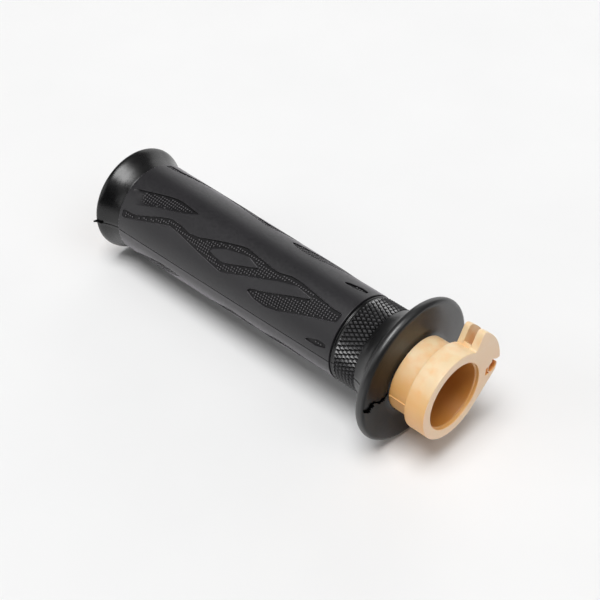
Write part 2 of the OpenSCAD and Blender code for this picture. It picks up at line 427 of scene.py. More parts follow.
def tread_edges(outlines):
    """The loops of the tread's edges, and how far each point of the outlines is on a shaded side."""
    # edges whose inward side points this way get a painted highlight on their lit lip
    lit_edge_way = np.array([0.45, -0.89])
    loops, shaded = [], []
    for loop, kind, side in outlines:
        inward = moved_in(loop, side * 0.01) - loop
        inward /= np.linalg.norm(inward, axis=1)[:, None]
        upper = np.interp(inward[:, 1], [-0.2, 0.4], [0, 1])
        painted_highlight = np.interp(inward @ lit_edge_way, [0.75, 0.97], [0, 1])
        shaded.append(np.column_stack([loop, upper]))
        for step, (distance, height, dark, lit, lip) in enumerate(EDGE_STEPS):
            wider = SHADED_FOOT * upper if step == len(EDGE_STEPS) - 1 else 0
            ring = moved_in(loop, side * (distance + wider))
            share = depth_share(ring, kind)
            # painted shade on an edge's shaded side; on its lit side a lighter painted shade, or a
            # painted highlight on the lip
            shade = dark * upper + (lit + lip * painted_highlight) * (1 - upper)
            loops.append((ring, height * share, shade * share))
    return loops, np.concatenate(shaded)


def skin_columns():
    """Where the skin has points round the sleeve: even steps, and close ones at the parting lines."""
    low, high = QUARTER
    even = np.linspace(low, high, 25)
    even = even[(even == low) | (even == high) | ((even > low + 1.6) & (even < high - 1.6))]
    close = np.abs([reach for reach, _ in SEAM if reach != 0]) * UNROLL_R / SEAM_R
    return np.unique(np.concatenate([even, low + close, high - close]))


def skin_grid(in_tread, away):
    """Points of the skin outside the tread and clear of its edges."""
    rows = np.linspace(*SKIN_ENDS, 92)
    grid = np.array([(x, s) for x in rows for s in skin_columns()])
    border = np.isin(grid[:, 0], SKIN_ENDS) | np.isin(grid[:, 1], QUARTER)
    return grid[border | (~in_tread(grid) & (away(grid) > 0.6))]


def add_dots(sheet, feet, share):
    """Eight-sided raised dots with four-sided tops, which fade where the tread is less deep."""
    ring = np.radians(np.arange(8) * 45)
    base = np.column_stack([np.cos(ring), np.sin(ring)]) * DOT_BASE
    base *= np.where(np.arange(8) % 2 == 0, 0.92, 1.08)[:, None]
    top = base[1::2] * DOT_TOP / DOT_BASE
    # painted shade round the dots' feet and a painted highlight on their tops, both fading with the
    # tread's depth
    for foot, height, dark, fading in ((base, 0.0, GAP_SHADE, 1), (top, DOT_H, DOT_SHADE, 4)):
        n = len(foot)
        every = (feet[:, None] + foot[None]).reshape(-1, 2)
        heights = np.repeat((height - TREAD_D) * share, n)
        sheet.add_loops(every, heights, np.repeat(dark * share ** fading, n), n)


def tread_quarter():
    """One quarter of the sleeve's skin with its tread, unrolled."""
    leaf, wave = tread_outline(LEAF, 0.9), tread_outline(WAVE, 1.1)
    mark, island = tread_outline(MARK, 0.8), tread_outline(ISLAND, 1.0)
    loops, shaded = tread_edges(
        [(leaf, "leaf", 1), (wave, "wave", 1), (mark, "mark", 1), (island, "wave", -1)])

    def in_tread(points):
        in_outlines = inside(points, leaf) | inside(points, wave) | inside(points, mark)
        return in_outlines & ~inside(points, island)

    def away(points):
        return np.min([distance_to(points, loop) for loop in (leaf, wave, mark, island)], axis=0)

    first_x, first_s = -SLEEVE_OUT + 3, QUARTER[0] + 2
    dots = np.array([(x, s) for x in np.arange(first_x, -SLEEVE_IN, DOT_PITCH_X)
                     for s in np.arange(first_s, QUARTER[1], DOT_PITCH_S)])
    nearest = np.argmin(np.linalg.norm(dots[:, None] - shaded[None, :, :2], axis=2), axis=1)
    dots = dots[in_tread(dots) & (away(dots) > DOT_CLEAR + SHADED_FOOT * shaded[nearest, 2])]
    share = np.where(inside(dots, leaf), depth_share(dots, "leaf"), depth_share(dots, "wave"))
    bare = share <= DOT_SHARE

    sheet = Sheet()
    grid = skin_grid(in_tread, away)
    sheet.add(grid, np.zeros(len(grid)), np.zeros(len(grid)))
    sheet.add(dots[bare], -TREAD_D * share[bare], GAP_SHADE * share[bare])
    for loop, heights, shades in loops:
        sheet.add_loops(loop, heights, shades, len(loop))
    add_dots(sheet, dots[~bare], share[~bare])
    return sheet.mesh()


def sleeve_ends(shape):
    """The sleeve's rounded ends and the inner wall between them."""
    outboard, inboard = SKIN_ENDS
    a, b = -SLEEVE_OUT, -SLEEVE_IN
    profile = rounded([(inboard, skin(inboard)), (b, skin(b), END_LIP), (b, SEAT_R), (a, SEAT_R),
                       (a, skin(a), END_LIP), (outboard, skin(outboard))], closed=False, n=4)
    apart = np.linalg.norm(np.diff(profile, axis=0), axis=1) > 1e-6
    profile = profile[np.concatenate([[True], apart])]
    quarter = np.degrees(skin_columns()[:-1] / UNROLL_R)
    angles = np.concatenate([quarter + i * 360 / TREAD_N for i in range(TREAD_N)]) % 360

    def on_skin(x, r):
        return r > skin(x) - 0.2

    def ridge(x, r, t):
        return parting(r, t) * on_skin(x, r)

    def shade(x, r, t):
        return parting_shade(r, t) * on_skin(x, r)
    turned(shape, profile, np.sort(angles), radius_change=ridge, shade=shade)


def sleeve():
    shape = Shape()
    flat, faces, height, dark = tread_quarter()
    angle = np.degrees(flat[:, 1] / UNROLL_R)
    radius = skin(flat[:, 0]) + height
    for i in range(TREAD_N):
        turn = angle + i * 360 / TREAD_N
        r = radius + parting(radius, turn)
        t = np.radians(turn)
        points = np.column_stack([flat[:, 0], r * np.cos(t), r * np.sin(t)])
        shape.add(points, faces, dark + parting_shade(radius, turn))
    sleeve_ends(shape)
    return shape


# ---- the rubber core ----

def knurl(shape):
    """A band of small pyramids set corner to corner, with slightly blunt tips."""
    per_point = 8
    points_along = 3
    steepness, floor, blunt = 1.12, 0.04, 0.95
    rows, n = points_along * per_point, KNURL_N * per_point
    x = np.linspace(KNURL_X0, KNURL_X1, rows + 1)
    t = np.radians(np.arange(n) * 360.0 / n)
    u = np.arange(rows + 1)[:, None] / per_point
    v = np.arange(n)[None] / per_point

    def radius(u, v):
        p, q = (u + v) % 1.0, (u - v) % 1.0
        to_groove = np.minimum(np.minimum(p, 1 - p), np.minimum(q, 1 - q)) * 2
        share = np.clip(to_groove * steepness, floor, blunt)
        return KNURL_ROOT + (KNURL_TIP - KNURL_ROOT) * share

    r = radius(u, v)
    points = np.stack([np.repeat(x[:, None], n, 1), r * np.cos(t), r * np.sin(t)], axis=2)
    middle = radius(u[:-1] + 0.5 / per_point, v + 0.5 / per_point)
    faces = []
    for i in range(rows):
        for k in range(n):
            m = (k + 1) % n
            p, q, s, w = i * n + k, i * n + m, (i + 1) * n + m, (i + 1) * n + k
            straight = abs((r[i, k] + r[i + 1, m]) / 2 - middle[i, k])
            crossed = abs((r[i, m] + r[i + 1, k]) / 2 - middle[i, k])
            if straight < crossed:
                faces += [(p, q, s), (p, s, w)]
            else:
                faces += [(p, q, w), (q, s, w)]
    height = (r - KNURL_ROOT) / (KNURL_TIP - KNURL_ROOT)
    # painted shade in the grooves and a painted highlight on the tips
    dark = np.interp(height, [0, 0.25, 1], [1.0, -0.2, -1.0])
    shape.add(points.reshape(-1, 3), faces, dark.ravel())
    inner = KNURL_ROOT - 0.35
    for row, edge in ((0, KNURL_X0), (rows, KNURL_X1)):
        wall = np.column_stack([np.full(n, edge), inner * np.cos(t), inner * np.sin(t)])
        shape.add(np.concatenate([points[row], wall]), bands(2, n))


def core_profile():
    """The core's section as (x, radius), round from the outboard end of its inner wall."""
    out, rim = -GRIP_OUT, FLANGE_T / 2
    band = -SLEEVE_IN + SLIT_W
    seat = SEAT_R - 0.4
    knurl_floor = KNURL_ROOT - 0.4
    flared_end = [
        (out + 1.4, TUBE_R), (out + 1.4, TUBE_R + 0.9, 0.4), (out, TUBE_R + 2.4, 0.6),
        (out, FLARE_R - 1.5, 0.3), (out + 0.1, FLARE_R - 0.5, 0.6), (out + 1.0, FLARE_R, 0.8),
        (out + 2.3, FLARE_R - 0.3, 0.8), (out + 4.4, FLARE_R - 1.3, 1.0),
        (out + 6.2, FLARE_R - 2.05, 0.9), (out + 8.2, FLARE_R - 2.6, 0.8),
        (-SLEEVE_OUT - 0.4, FLARE_R - 2.85, 0.2), (-SLEEVE_OUT, FLARE_R - 3.0)]
    under_sleeve = [(-SLEEVE_OUT, seat), (band, seat)]
    knurled_band = [
        (band, BAND_R + 0.12, 0.15), (band + 0.35, BAND_R + 0.1, 0.2),
        (band + 0.6, BAND_R - 0.1, 0.2), (KNURL_X0, BAND_R - 0.05, 0.08),
        (KNURL_X0, knurl_floor), (KNURL_X1, knurl_floor), (KNURL_X1, 15.25, 0.15)]
    hub = [(-10.4, 15.5, 0.9), (-8.9, 16.0, 0.9), (-7.3, 16.9, 0.9), (-5.9, 18.4, 0.9),
           (-4.8, 20.5, 0.9)]
    outside = rounded(flared_end + under_sleeve + knurled_band + hub, closed=False)
    flange_edge = circle_part((-rim, FLANGE_R - RIM_MARGIN - rim), rim, 160, 0, 8)
    lip = (0.3, TUBE_R + 0.6)
    face = rounded([(0, 20.0), (0, TUBE_R + 1.7, 0.6), (*lip, 0.3)], closed=False)
    gap = [(0.75, TUBE_R + FACE_GAP), (-0.7, TUBE_R + FACE_GAP), (-0.8, TUBE_R)]
    return np.concatenate([outside, flange_edge, face[:-1], [lip], gap])


def core():
    shape = Shape()

    def outside(x, r):
        on_an_end = (x < -GRIP_OUT + 0.05) | (x > -0.05)
        return (r > SEAT_R + 0.2) & (r < FLANGE_R - 1.0) & ~on_an_end

    def change(x, r, t):
        """The parting line outside, and inside a gap between the face and the neck on one side."""
        at_neck = (np.abs(r - TUBE_R - FACE_GAP) < 0.01) & (x > -1) & (x < 1)
        closed = 1 - np.interp(t, [128, 145, 188, 200], [0, 1, 1, 0])
        return parting(r, t) * outside(x, r) - (FACE_GAP - 0.01) * closed * at_neck

    def shade(x, r, t):
        # painted shade in the gap between the flange's face and the neck
        deep = (r < TUBE_R + FACE_GAP + 0.02) & (x > -1) & (x < -0.5)
        return parting_shade(r, t) * outside(x, r) + deep
    turned(shape, core_profile(), ridge_angles(240), closed=True, radius_change=change, shade=shade)
    knurl(shape)
    for path, half, height in FLANGE_FLASH:
        fin(shape, np.array(path), half, height)
    spur(shape)
    return shape


def spur(shape):
    """A short tail of flash that stands out from the flared end's rim at the parting line."""
    outline = [(0.8, 18.6), (0.4, 19.2), (0.2, 20.2), (0.6, 20.5), (1.1, 19.9), (1.8, 19.6),
               (3.3, 19.3), (3.5, 18.6)]
    # the tail is painted dark with the shade attribute, painted shade for the shadow it casts
    half, dark = 0.16, 0.7
    points = [(x - GRIP_OUT, -r, side * half) for side in (-1, 1) for x, r in outline]
    n = len(outline)
    ends = [tuple(range(n)), tuple(range(2 * n - 1, n - 1, -1))]
    shape.add(points, ends + bands(2, n), dark)


def fin(shape, path, half, height):
    """A ragged fin of flash that stands on the flange's face along a path of (y, z)."""
    path = resampled(rounded([(y, z, 0.5) for y, z in path], closed=False), 0.25, closed=False)
    n = len(path)
    along = np.gradient(path, axis=0)
    side = np.column_stack([-along[:, 1], along[:, 0]]) / np.linalg.norm(along, axis=1)[:, None]
    s = np.arange(n) * 1.0
    taper = np.clip(np.minimum(s, n - 1 - s) / 4, 0.15, 1)
    wide = half * taper * (1 + 0.3 * np.sin(s * 1.1 + 2))
    tall = height * taper * (1 + 0.35 * np.sin(s * 1.7) + 0.25 * np.sin(s * 0.61 + 1))
    # its section: place across it, height and painted shade, which paints the fin near black as its
    # shadow; the foot is sunk into the face
    section = [(-1.0, -0.2, 1.0), (-0.8, 0.0, 1.0), (-0.2, 1.0, 0.8), (0.25, 0.85, 0.8),
               (0.8, 0.0, 1.0), (1.0, -0.2, 1.0)]
    rings = [np.column_stack([tall * h if h > 0 else np.full(n, h), path + side * (wide * d)[:, None]])
             for d, h, _ in section]
    m = len(section)
    ends = [tuple(range(m)), tuple(range(n * m - 1, (n - 1) * m - 1, -1))]
    shape.add(np.stack(rings, axis=1).reshape(-1, 3), bands(n, m) + ends,
              np.tile([dark for _, _, dark in section], n))


# ---- the nylon tube and its cable drum ----

def tube_body(shape):
    """The tube, its neck and the collar, up to just inside the front plate."""
    plate_x = DRUM_END - PLATE_W
    mouth_x = DRUM_END - MOUTH_LEN
    hidden_r, hidden_x = COLLAR_R - 0.12, plate_x + 0.6
    profile = rounded([
        (hidden_x, hidden_r), (plate_x + 0.05, hidden_r), (plate_x, COLLAR_R),
        (COLLAR_X, COLLAR_R, 0.3), (COLLAR_X, TUBE_R, 0.35), (0.1, TUBE_R), (-0.5, TUBE_R),
        (-TUBE_OUT, TUBE_R, 0.5), (-TUBE_OUT, BORE_R, 0.4), (mouth_x - 0.4, BORE_R, 0.2),
        (mouth_x, MOUTH_R + 0.1, 0.1), (hidden_x, MOUTH_R + 0.1)])

    def change(x, r, t):
        """The neck's lower half is set back, and its parting line stands out on one side."""
        neck = (r > TUBE_R - 0.1) & (x > 0) & (x < COLLAR_X + 0.01) & (r < TUBE_R + 0.6)
        lower = (t > 180.05) & (t < 359.95)
        edge_line = np.abs(t - 180) < 0.05
        return np.where(neck & lower, -NECK_STEP, 0) + np.where(neck & edge_line, NECK_LIP, 0)
    beside_lines = [179.5, 180.6, 359.4, 0.5]
    angles = np.unique(np.concatenate([np.arange(180) * 2.0, beside_lines]))
    turned(shape, profile, angles, closed=True, radius_change=change)


# a rounded edge, step by step: how far along X and how far in, as shares of its size
ROLL_STEPS = [(0.0, 1.0), (0.08, 0.62), (0.29, 0.29), (0.62, 0.08), (1.0, 0.0)]


def slab(shape, outline, holes, x0, x1, front=0.0, back=0.0):
    """A plate along X whose outline is anticlockwise in (y, z), with holes, and rounded edges."""
    loops = [outline] + [hole[::-1] if turns_left(hole) else hole for hole in holes]
    slab_end(shape, loops, x1, front)
    slab_end(shape, loops, x0, back)
    for loop in loops:
        rings = [(loop, x1)]
        if front:
            rings = [(moved_in(loop, front * d), x1 - front * h) for h, d in ROLL_STEPS]
        if back:
            rings += [(moved_in(loop, back * d), x0 + back * h) for h, d in reversed(ROLL_STEPS)]
        else:
            rings.append((loop, x0))
        points = [np.column_stack([np.full(len(loop), x), ring]) for ring, x in rings]
        shape.add(np.concatenate(points), bands(len(rings), len(loop)))


def slab_end(shape, loops, x, roll):
    """A flat end inside the first loop and outside the others, moved in by its edge's size."""
    caps = [moved_in(loop, roll) if roll else loop for loop in loops]
    links, count = [], 0
    for cap in caps:
        links.extend(closed_links(count, len(cap)))
        count += len(cap)
    flat, faces, _ = triangulated(np.concatenate(caps), links, 1e-6)
    faces = np.array([tuple(f) for f in faces])
    centre = flat[faces].mean(axis=1)
    keep = inside(centre, caps[0])
    for hole in caps[1:]:
        keep &= ~inside(centre, hole)
    shape.add(np.column_stack([np.full(len(flat), x), flat]), faces[keep])


def joined(*runs):
    """A closed outline from runs of points, each followed by how far its end corner is bent."""
    pieces = [(np.asarray(runs[i], float), runs[i + 1]) for i in range(0, len(runs), 2)]
    out = []
    for i, (run, reach) in enumerate(pieces):
        following = pieces[(i + 1) % len(pieces)][0]
        before_reach = pieces[i - 1][1]
        run = trimmed(run, before_reach, reach)
        out.append(run)
        if reach:
            start = trimmed(following, reach, 0)[0]
            out.append(bend(run[-1], following[0], start, 5)[1:-1])
    loop = np.concatenate(out)
    keep = np.linalg.norm(loop - np.roll(loop, 1, axis=0), axis=1) > 1e-5
    loop = resampled(loop[keep], 0.7)
    return loop if turns_left(loop) else loop[::-1]


def trimmed(run, start, end):
    """A run of points without a length of start and end at its two ends."""
    steps = np.concatenate([[0], np.cumsum(np.linalg.norm(np.diff(run, axis=0), axis=1))])
    lo, hi = start, steps[-1] - end
    inner = (steps > lo) & (steps < hi)

    def at(s):
        return [np.interp(s, steps, run[:, 0]), np.interp(s, steps, run[:, 1])]
    return np.vstack([at(lo), run[inner], at(hi)])


def on_end_face(radius):
    """The point of the sector's upper end face at a radius, in (y, z)."""
    cosine, sine = polar(1, SECTOR_HI)
    along = math.sqrt(radius ** 2 - SECTOR_OFF ** 2)
    return [SECTOR_OFF * sine + along * cosine, along * sine - SECTOR_OFF * cosine]


def end_angle(radius):
    """The angle at which the end face starts at a radius."""
    y, z = on_end_face(radius)
    return math.degrees(math.atan2(z, y))


def lip_side():
    """The sector's straight lower side: where it leaves the collar, and its corner at the lip."""
    start = polar(COLLAR_R, SECTOR_LO)
    down = math.radians(SECTOR_LO)
    reach = (LIP_Y - start[0]) / -math.sin(down)
    return [start, [LIP_Y, start[1] + reach * math.cos(down)]]


def on_socket(angle):
    y, z = polar(SOCKET_R, angle)
    return [SOCKET[0] + y, SOCKET[1] + z]


SLIT_LO_ANGLE = math.degrees(math.asin((SLIT_LO + 0.1 - SOCKET[1]) / SOCKET_R))
SLIT_HI_ANGLE = math.degrees(math.acos((SLIT_TOP[0][0] - SOCKET[0]) / SOCKET_R)) - 360
SUNK_R = COLLAR_R - 0.8  # the sector's inner radius, out of sight in the collar


def plate_outline():
    """The front plate: the collar, the lip, the socket, the slit, the rim and the end face."""
    side, lip_tip = lip_side(), [LIP_Y, SLIT_LO]
    rim_slit = math.degrees(math.asin(SLIT_HI / RIM_R))
    return joined(
        circle_part((0, 0), COLLAR_R, end_angle(COLLAR_R), 360 + SECTOR_LO), 0,
        side, 0.9,
        [side[1], lip_tip], 0.15,
        [lip_tip, on_socket(SLIT_LO_ANGLE)], 0.1,
        circle_part(SOCKET, SOCKET_R, SLIT_LO_ANGLE, SLIT_HI_ANGLE, 12.0), 0.15,
        [on_socket(SLIT_HI_ANGLE), SLIT_TOP[0]], 0.4,
        SLIT_TOP, 0.4,
        [SLIT_TOP[1], polar(RIM_R, rim_slit)], 0.6,
        circle_part((0, 0), RIM_R, rim_slit, end_angle(RIM_R)), 1.7,
        [on_end_face(RIM_R), on_end_face(COLLAR_R)], 0.8)


def relief_outline():
    """The shallow pocket beside the socket, whose one side runs round the socket's wall."""
    left, bottom, top = RELIEF
    wall_r = SOCKET_R + WALL
    upper = 180 - math.degrees(math.asin((top - SOCKET[1]) / wall_r))
    lower = 180 - math.degrees(math.asin((bottom - SOCKET[1]) / wall_r))
    wall = circle_part(SOCKET, wall_r, upper, lower, 8.0)
    return joined(
        wall, 0.15,
        [wall[-1], [left, bottom]], 0.3,
        [[left, bottom], [left, top]], 0.3,
        [[left, top], wall[0]], 0.15)


def rear_outline():
    """The rear plate: it has no slit, only a step at the rim."""
    side, step_z = lip_side(), 1.0
    step = math.degrees(math.asin(step_z / RIM_R))
    return joined(
        circle_part((0, 0), SUNK_R, end_angle(SUNK_R), SECTOR_LO), 0,
        side, 0.9,
        [side[1], [LIP_Y, step_z]], 0.15,
        [[LIP_Y, step_z], polar(RIM_R, step)], 0.3,
        circle_part((0, 0), RIM_R, step, end_angle(RIM_R)), 1.7,
        [on_end_face(RIM_R), on_end_face(SUNK_R)], 0.0)


def web_outline():
    """The web between the plates: the groove's floor, the socket and the lip."""
    side, lip_tip = lip_side(), [LIP_Y, SLIT_LO]
    to_axis = math.degrees(math.atan2(SOCKET[1], SOCKET[0])) - 180
    return joined(
        circle_part((0, 0), SUNK_R, end_angle(SUNK_R), SECTOR_LO), 0,
        side, 0.9,
        [side[1], lip_tip], 0.15,
        [lip_tip, on_socket(SLIT_LO_ANGLE)], 0.1,
        circle_part(SOCKET, SOCKET_R, SLIT_LO_ANGLE, to_axis, 12.0), 0,
        circle_part((0, 0), GROOVE_R, 180 + to_axis, end_angle(GROOVE_R)), 0,
        [on_end_face(GROOVE_R), on_end_face(SUNK_R)], 0)


def drum(shape):
    plate, rear = plate_outline(), rear_outline()
    socket = circle_part(SOCKET, SOCKET_R, 0, 350, 10.0)
    mouth = circle_part((0, 0), MOUTH_R, 0, 358)
    plate_x = DRUM_END - PLATE_W
    groove_x = plate_x - GROOVE_W
    pocket_x = DRUM_END - SOCKET_LEN
    relief_x = DRUM_END - RELIEF_DEPTH
    overlap = 0.2
    slab(shape, plate, [mouth, relief_outline()], relief_x, DRUM_END, front=EDGE_ROLL)
    slab(shape, plate, [mouth], plate_x, relief_x)
    slab(shape, rear, [socket], pocket_x, groove_x)
    slab(shape, rear, [], COLLAR_X, pocket_x, back=BACK_ROLL)
    slab(shape, web_outline(), [], groove_x - overlap, groove_x + GROOVE_W + overlap)


def tube():
    shape = Shape()
    tube_body(shape)
    drum(shape)
    return shape


# ---- materials ----

class Nodes:
    """Short calls for building a material's nodes."""

    def __init__(self, name):
        self.material = bpy.data.materials.new(name)
        self.material.use_nodes = True
        self.tree = self.material.node_tree
        self.bsdf = self.tree.nodes["Principled BSDF"]
        self.place = self.new("ShaderNodeTexCoord").outputs["Object"]

    def new(self, kind, **values):
        node = self.tree.nodes.new(kind)
        for key, value in values.items():
            setattr(node, key, value)
        return node

    def link(self, a, b):
        self.tree.links.new(a, b)

    def noise(self, size, detail=3.0, rough=0.5, stretch=None):
        """Noise whose features are about size millimetres across."""
        node = self.new("ShaderNodeTexNoise")
        node.inputs["Scale"].default_value = 1.0 / (size * MM)
        node.inputs["Detail"].default_value = detail
        node.inputs["Roughness"].default_value = rough
        place = self.place
        if stretch:
            mapping = self.new("ShaderNodeMapping")
            mapping.inputs["Scale"].default_value = stretch
            self.link(place, mapping.inputs["Vector"])
            place = mapping.outputs["Vector"]
        self.link(place, node.inputs["Vector"])
        return node.outputs["Fac"]

    def between(self, value, low, high, out_low, out_high):
        """Turns low to high into out_low to out_high, and holds the ends beyond them."""
        node = self.new("ShaderNodeMapRange")
        self.link(value, node.inputs["Value"])
        ends = {"From Min": low, "From Max": high, "To Min": out_low, "To Max": out_high}
        for key, number in ends.items():
            node.inputs[key].default_value = number
        return node.outputs["Result"]

    def mix(self, factor, a, b):
        """A colour from a, where the factor is 0, to b, where it is 1."""
        node = self.new("ShaderNodeMix", data_type="RGBA")
        # its colour sockets share their names with others, so they are taken by number
        factor_in, a_in, b_in = node.inputs[0], node.inputs[6], node.inputs[7]
        self.link(factor, factor_in)
        for socket, colour in ((a_in, a), (b_in, b)):
            if isinstance(colour, tuple):
                socket.default_value = (*colour, 1.0)
            else:
                self.link(colour, socket)
        return node.outputs[2]

    def calculate(self, operation, *values):
        """A Math node, whose inputs are numbers or the outputs of other nodes."""
        node = self.new("ShaderNodeMath", operation=operation)
        for socket, value in zip(node.inputs, values):
            if isinstance(value, (int, float)):
                socket.default_value = value
            else:
                self.link(value, socket)
        return node.outputs[0]

    def plus(self, a, b):
        return self.calculate("ADD", a, b)

    def times(self, a, b):
        return self.calculate("MULTIPLY", a, b)

    def sum(self, a, b, share):
        """a and a share of b."""
        return self.calculate("MULTIPLY_ADD", b, share, a)

    def power(self, a, number):
        return self.calculate("POWER", self.calculate("ABSOLUTE", a), number)

    def shade(self):
        """The shade that each point of the mesh was made with."""
        return self.new("ShaderNodeAttribute", attribute_name="shade").outputs["Fac"]

    def along(self, axis):
        """One coordinate of the place, in millimetres."""
        node = self.new("ShaderNodeSeparateXYZ")
        self.link(self.place, node.inputs[0])
        return self.times(node.outputs[axis], 1 / MM)

    def radius(self, centre=(0.0, 0.0)):
        """Distance from a line along X through a centre in (y, z), in millimetres."""
        y2 = self.power(self.plus(self.along("Y"), -centre[0]), 2.0)
        z2 = self.power(self.plus(self.along("Z"), -centre[1]), 2.0)
        return self.power(self.plus(y2, z2), 0.5)

    def bump(self, height, distance, strength=1.0):
        node = self.new("ShaderNodeBump")
        node.inputs["Distance"].default_value = distance * MM
        node.inputs["Strength"].default_value = strength
        self.link(height, node.inputs["Height"])
        self.link(node.outputs["Normal"], self.bsdf.inputs["Normal"])


def sleeve_rubber():
    """Soft, dull rubber with a dusty sheen, painted nearly black where the shade attribute paints
    shade and pale where it paints a highlight.
    """
    black, brown_black = (0.0030, 0.0022, 0.0040), (0.0060, 0.0048, 0.0072)
    recess_shade, painted_highlight = (0.0012, 0.0011, 0.0012), (0.090, 0.086, 0.091)
    m = Nodes("sleeve_rubber")
    broad, fine, grain = m.noise(14.0), m.noise(0.9, 4.0), m.noise(0.16, 2.0)
    shade = m.shade()
    tone = m.sum(broad, fine, 0.35)
    colour = m.mix(m.between(tone, 0.45, 0.9, 0, 1), black, brown_black)
    # painted shade where the mesh's shade is above 0, and a painted highlight where it is below 0
    colour = m.mix(m.between(shade, 0, 1, 0, 1), colour, recess_shade)
    colour = m.mix(m.between(shade, 0, -1, 0, 1), colour, painted_highlight)
    m.link(colour, m.bsdf.inputs["Base Color"])
    m.link(m.between(fine, 0.3, 0.7, 0.40, 0.50), m.bsdf.inputs["Roughness"])
    # the shine drops where shade is painted, which darkens it further
    m.link(m.between(shade, 0, 1, 0.68, 0.08), m.bsdf.inputs["Specular IOR Level"])
    m.bsdf.inputs["Sheen Weight"].default_value = 1.0
    m.bsdf.inputs["Sheen Roughness"].default_value = 0.26
    m.bsdf.inputs["Sheen Tint"].default_value = (0.98, 0.93, 1.0, 1.0)
    m.bump(m.sum(fine, grain, 0.6), 0.012, 0.7)
    return m.material


def core_rubber():
    """Firmer rubber with a low gloss, which is duller and paler towards the flange, with painted shade
    in its creases, grooves and gaps and painted highlights on its knurl's tips.
    """
    black, grey_black = (0.0015, 0.0015, 0.0017), (0.0035, 0.0033, 0.0037)
    recess_shade, painted_highlight = (0.001, 0.001, 0.001), (0.060, 0.059, 0.062)
    m = Nodes("core_rubber")
    broad, fine, grain = m.noise(9.0), m.noise(1.3, 4.0), m.noise(0.2, 2.0)
    shade = m.shade()
    colour = m.mix(m.between(broad, 0.35, 0.7, 0, 1), black, grey_black)
    # painted shade where the mesh's shade is above 0, and a painted highlight where it is below 0
    colour = m.mix(m.between(shade, 0, 1, 0, 1), colour, recess_shade)
    colour = m.mix(m.between(shade, 0, -1, 0, 1), colour, painted_highlight)
    m.link(colour, m.bsdf.inputs["Base Color"])
    at_flange = m.between(m.along("X"), -12.0, -5.0, 0, 0.12)
    on_face = m.between(m.along("X"), -0.9, -0.2, 0, 1)
    uneven = m.between(m.sum(broad, fine, 0.4), 0.5, 0.9, 0.23, 0.33)
    m.link(m.sum(m.plus(at_flange, uneven), on_face, -0.06), m.bsdf.inputs["Roughness"])
    # the shine drops where shade is painted
    shine = m.sum(m.between(shade, 0, 1, 0.52, 0.1), at_flange, 4.5)
    # painted shade: the flange's face shines less towards -Y, standing in for the shadowed floor that
    # it reflects
    face_painted_shade = m.times(on_face, m.between(m.along("Y"), -18.0, 12.0, 0.8, 0))
    m.link(m.sum(shine, face_painted_shade, -1.0), m.bsdf.inputs["Specular IOR Level"])
    m.bump(m.sum(fine, grain, 0.4), 0.015, 0.6)
    return m.material


def tube_nylon():
    """Natural nylon: clouded tan, with a painted highlight on top, paler on the end face, and painted
    shade in the bore and socket.
    """
    tan, pale_tan = (0.90, 0.445, 0.125), (0.91, 0.51, 0.17)
    top_highlight_tan, end_tan = (0.93, 0.72, 0.45), (0.92, 0.65, 0.43)
    bore_shade_tan, socket_shade_tan = (0.62, 0.26, 0.045), (0.72, 0.30, 0.06)
    m = Nodes("tube_nylon")
    broad = m.noise(11.0, 3.0, stretch=(0.5, 1.0, 1.0))
    fine, grain = m.noise(1.6, 4.0), m.noise(0.25, 2.0)
    colour = m.mix(m.between(broad, 0.35, 0.7, 0, 1), tan, pale_tan)
    # a patchy painted highlight on the top of the tube, where the light falls
    on_top = m.between(m.along("Z"), 4.0, 12.0, 0, 1)
    patchy = m.between(m.noise(4.0, 2.0), 0.3, 0.6, 0.35, 0.9)
    colour = m.mix(m.times(on_top, patchy), colour, top_highlight_tan)
    end_face = m.between(m.along("X"), DRUM_END - 0.25, DRUM_END - 0.02, 0, 0.8)
    colour = m.mix(end_face, colour, end_tan)
    # painted shade inside the bore
    in_bore = m.between(m.radius(), BORE_R + 0.35, BORE_R + 0.1, 0, 1)
    colour = m.mix(in_bore, colour, bore_shade_tan)
    # painted shade inside the cable socket, below the end face
    beside_socket = m.between(m.radius(SOCKET), SOCKET_R + 0.25, SOCKET_R + 0.05, 0, 1)
    below_face = m.between(m.along("X"), DRUM_END - 0.4, DRUM_END - 1.2, 0, 1)
    colour = m.mix(m.times(beside_socket, below_face), colour, socket_shade_tan)
    m.link(colour, m.bsdf.inputs["Base Color"])
    m.link(m.between(fine, 0.3, 0.7, 0.44, 0.54), m.bsdf.inputs["Roughness"])
    m.bsdf.inputs["Specular IOR Level"].default_value = 1.0
    m.bsdf.inputs["Coat Weight"].default_value = 0.5
    m.bsdf.inputs["Coat Roughness"].default_value = 0.38
    m.bsdf.inputs["Subsurface Weight"].default_value = 0.12
    m.bsdf.inputs["Subsurface Radius"].default_value = (1.0, 0.45, 0.15)
    m.bsdf.inputs["Subsurface Scale"].default_value = 1.2 * MM
    m.bump(m.sum(fine, grain, 0.3), 0.010, 0.6)
    return m.material


# ---- the object ----

tube().piece("tube_visual", tube_nylon(), "tube_nylon", "throttle_tube", sharp=42)
core().piece("core_visual", core_rubber(), "core_rubber", "grip_core", sharp=38)
sleeve().piece("sleeve_visual", sleeve_rubber(), "sleeve_rubber", "grip_sleeve", sharp=46)


# ---- floor, light and camera ----

FLARE_REST_X = -GRIP_OUT + 1.2      # where the flared end touches the floor
FLOOR_LEAN = -0.0447                # the grip lies turned about its bore by about this, in radians
CAMERA_PLACE = Vector((175.61, -232.47, 278.56))
CAMERA_RIGHT = Vector((0.71898, 0.69503, -0.00121))
CAMERA_UP = Vector((-0.45308, 0.47001, 0.75750))


